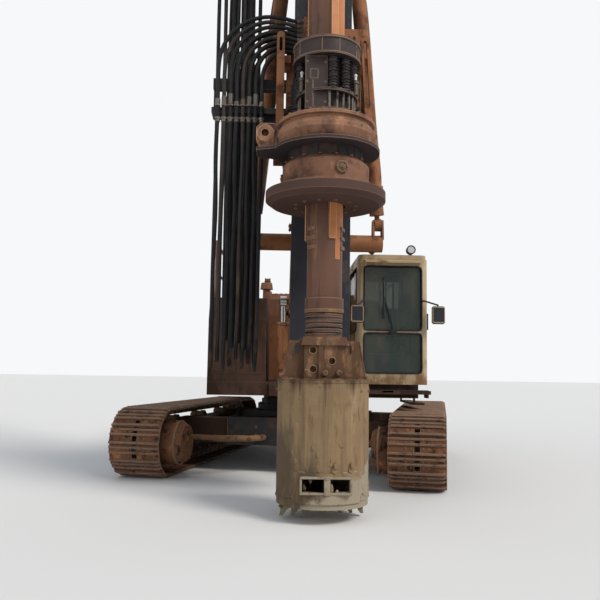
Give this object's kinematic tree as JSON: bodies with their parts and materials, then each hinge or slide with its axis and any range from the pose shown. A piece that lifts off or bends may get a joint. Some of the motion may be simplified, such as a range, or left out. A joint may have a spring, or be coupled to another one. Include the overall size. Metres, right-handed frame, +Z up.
{
  "type": "rotary piling rig",
  "caption": "Rotary piling rig on tracks with a parallelogram boom, a mast, a rotary drive, a telescoping kelly bar and a drilling bucket.",
  "frame": {"origin": "on the slewing axis at the ground under the tracks, in the middle of the footprint within the check's allowance", "axes": "+X forward over the boom and mast, +Y to the operator's left, +Z up"},
  "size_m": [9.423, 5.4924, 20.7099],
  "materials": {
    "paint_body": "worn semi-gloss",
    "paint_dark": "worn satin",
    "rust_cast": "rusty",
    "track_steel": "worn rusty",
    "kelly_steel": "worn",
    "rod_chrome": "polished",
    "cab_paint": "semi-gloss",
    "cab_glass": "tinted",
    "seat_black": "matt",
    "mud_steel": "muddy",
    "hose_rubber": "matt"
  },
  "bodies": {
    "undercarriage": {"carbody": "paint_dark"},
    "left_track": {"track_frame_left": "paint_body", "rollers_left": "track_steel", "track_left": "track_steel", "travel_hose_left": "hose_rubber"},
    "right_track": {"track_frame_right": "paint_body", "rollers_right": "track_steel", "track_right": "track_steel", "travel_hose_right": "hose_rubber"},
    "upper": {"upper_frame": "paint_body", "counterweight": "paint_body", "engine_house": "paint_body", "engine": "paint_dark", "tank_box": "paint_body", "valve_box": "paint_body", "cab_shell": "cab_paint", "cab_glass": "cab_glass", "cab_seat": "seat_black", "cab_steps": "paint_dark", "cab_fittings": "paint_dark", "handrails": "paint_body"},
    "left_house_door": {"house_door_left": "paint_body"},
    "right_house_door": {"house_door_right": "paint_body"},
    "cab_side_door": {"cab_door": "cab_paint"},
    "boom_arm": {"boom": "paint_body"},
    "luff_barrels": {"boom_barrels": "paint_body"},
    "luff_rods": {"boom_rods": "rod_chrome"},
    "top_links": {"support_rods": "paint_body"},
    "triangle_frame": {"triangle": "paint_body"},
    "mast_cylinders": {"mast_barrels": "paint_body"},
    "left_mast_rod": {"mast_rod_left": "rod_chrome"},
    "right_mast_rod": {"mast_rod_right": "rod_chrome"},
    "mast": {"mast_lower": "paint_dark", "mast_middle": "paint_dark", "mast_upper": "paint_dark", "mast_head": "paint_dark", "crowd_barrel": "paint_body", "mast_hoses": "hose_rubber"},
    "main_winch": {"winch_main": "paint_dark"},
    "aux_winch": {"winch_aux": "paint_dark"},
    "front_sheaves": {"sheave_front": "paint_dark"},
    "rear_sheaves": {"sheave_rear": "paint_dark"},
    "drive": {"drive_sled": "paint_body", "gear_housing": "rust_cast", "drive_motors": "paint_dark", "hose_bracket": "paint_body", "drive_hoses": "hose_rubber"},
    "sleeve": {"drive_sleeve": "rust_cast", "spring_basket": "paint_dark"},
    "guide": {"kelly_guide": "paint_body"},
    "outer_kelly": {"kelly_outer": "kelly_steel"},
    "middle_kelly": {"kelly_middle": "kelly_steel"},
    "core_kelly": {"kelly_core": "kelly_steel", "bucket": "mud_steel"},
    "flap": {"bucket_flap": "mud_steel"}
  },
  "joints": [
    {"name": "left_track_spread", "type": "slide", "parent": "undercarriage", "child": "left_track", "axis": [0.23, 0.9732, 0], "range_m": [-0.55, 0]},
    {"name": "right_track_spread", "type": "slide", "parent": "undercarriage", "child": "right_track", "axis": [-0.23, -0.9732, 0], "range_m": [-0.55, 0]},
    {"name": "slew", "type": "hinge", "parent": "undercarriage", "child": "upper", "pos_m": [0, 0, 1.13], "axis": [0, 0, 1], "continuous": true},
    {"name": "left_house_door_swing", "type": "hinge", "parent": "upper", "child": "left_house_door", "pos_m": [-3.74, 1.472, 2], "axis": [0, 0, 1], "range_deg": [0, 100]},
    {"name": "right_house_door_swing", "type": "hinge", "parent": "upper", "child": "right_house_door", "pos_m": [-3.74, -1.472, 2], "axis": [0, 0, 1], "range_deg": [-100, 0]},
    {"name": "cab_door_swing", "type": "hinge", "parent": "upper", "child": "cab_side_door", "pos_m": [0.745, 1.652, 2.2], "axis": [0, 0, 1], "range_deg": [0, 95]},
    {"name": "boom_luff", "type": "hinge", "parent": "upper", "child": "boom_arm", "pos_m": [0.45, 0, 1.75], "axis": [0, 1, 0], "range_deg": [-12, 9]},
    {"name": "top_link_swing", "type": "hinge", "parent": "upper", "child": "top_links", "pos_m": [0.1, 0, 2.45], "axis": [0, 1, 0], "range_deg": [-12, 9]},
    {"name": "triangle_level", "type": "hinge", "parent": "boom_arm", "child": "triangle_frame", "pos_m": [1.95, 0, 2.85], "axis": [0, 1, 0], "range_deg": [-9, 12]},
    {"name": "luff_cylinder_swing", "type": "hinge", "parent": "upper", "child": "luff_barrels", "pos_m": [1.25, 0, 1.42], "axis": [0, 1, 0], "range_deg": [-10.5, 8]},
    {"name": "luff_cylinder_stroke", "type": "slide", "parent": "luff_barrels", "child": "luff_rods", "axis": [0.191, 0, 0.9816], "range_m": [-0.14, 0.18]},
    {"name": "mast_tilt", "type": "hinge", "parent": "triangle_frame", "child": "mast", "pos_m": [2.55, 0, 3.22], "axis": [0, 1, 0], "range_deg": [-15, 5]},
    {"name": "mast_cylinder_swing", "type": "hinge", "parent": "triangle_frame", "child": "mast_cylinders", "pos_m": [2.2, 0, 3.48], "axis": [0, 1, 0], "range_deg": [-16.2, 5.5]},
    {"name": "left_mast_cylinder_stroke", "type": "slide", "parent": "mast_cylinders", "child": "left_mast_rod", "axis": [0.1124, -0.103, 0.9883], "range_m": [-0.095, 0.034]},
    {"name": "right_mast_cylinder_stroke", "type": "slide", "parent": "mast_cylinders", "child": "right_mast_rod", "axis": [0.1124, 0.103, 0.9883], "range_m": [-0.095, 0.034]},
    {"name": "crowd", "type": "slide", "parent": "mast", "child": "drive", "axis": [0, 0, 1], "range_m": [-0.9, 3.6]},
    {"name": "kelly_turn", "type": "hinge", "parent": "guide", "child": "outer_kelly", "pos_m": [4.13, 0, 10], "axis": [0, 0, 1], "continuous": true},
    {"name": "sleeve_turn", "type": "hinge", "parent": "drive", "child": "sleeve", "pos_m": [4.13, 0, 3.5], "axis": [0, 0, 1], "continuous": true},
    {"name": "kelly_hoist", "type": "slide", "parent": "mast", "child": "guide", "axis": [0, 0, 1], "range_m": [-5.9, 0.3]},
    {"name": "middle_kelly_slide", "type": "slide", "parent": "outer_kelly", "child": "middle_kelly", "axis": [0, 0, -1], "range_m": [0, 10.5]},
    {"name": "core_kelly_slide", "type": "slide", "parent": "middle_kelly", "child": "core_kelly", "axis": [0, 0, -1], "range_m": [0, 10.5]},
    {"name": "flap_swing", "type": "hinge", "parent": "core_kelly", "child": "flap", "pos_m": [3.613, 0, 0.1867], "axis": [0, 1, 0], "range_deg": [0, 80]},
    {"name": "main_winch_turn", "type": "hinge", "parent": "mast", "child": "main_winch", "pos_m": [2.32, 0, 4.95], "axis": [0, 1, 0], "continuous": true},
    {"name": "aux_winch_turn", "type": "hinge", "parent": "mast", "child": "aux_winch", "pos_m": [2.32, 0, 6.15], "axis": [0, 1, 0], "continuous": true},
    {"name": "front_sheave_turn", "type": "hinge", "parent": "mast", "child": "front_sheaves", "pos_m": [3.83, 0, 20.38], "axis": [0, 1, 0], "continuous": true},
    {"name": "rear_sheave_turn", "type": "hinge", "parent": "mast", "child": "rear_sheaves", "pos_m": [2.37, 0, 20.38], "axis": [0, 1, 0], "continuous": true}
  ],
  "couplings": [
    {"joint": "top_link_swing", "follows": "boom_luff", "ratio": 1},
    {"joint": "triangle_level", "follows": "boom_luff", "ratio": -1},
    {"joint": "luff_cylinder_swing", "follows": "boom_luff", "ratio": 0.8276},
    {"joint": "luff_cylinder_stroke", "follows": "boom_luff", "m_per_rad": -0.8409},
    {"joint": "mast_cylinder_swing", "follows": "mast_tilt", "ratio": 1.0605},
    {"joint": "left_mast_cylinder_stroke", "follows": "mast_tilt", "m_per_rad": 0.3506},
    {"joint": "right_mast_cylinder_stroke", "follows": "mast_tilt", "m_per_rad": 0.3506},
    {"joint": "sleeve_turn", "follows": "kelly_turn", "ratio": 1}
  ]
}
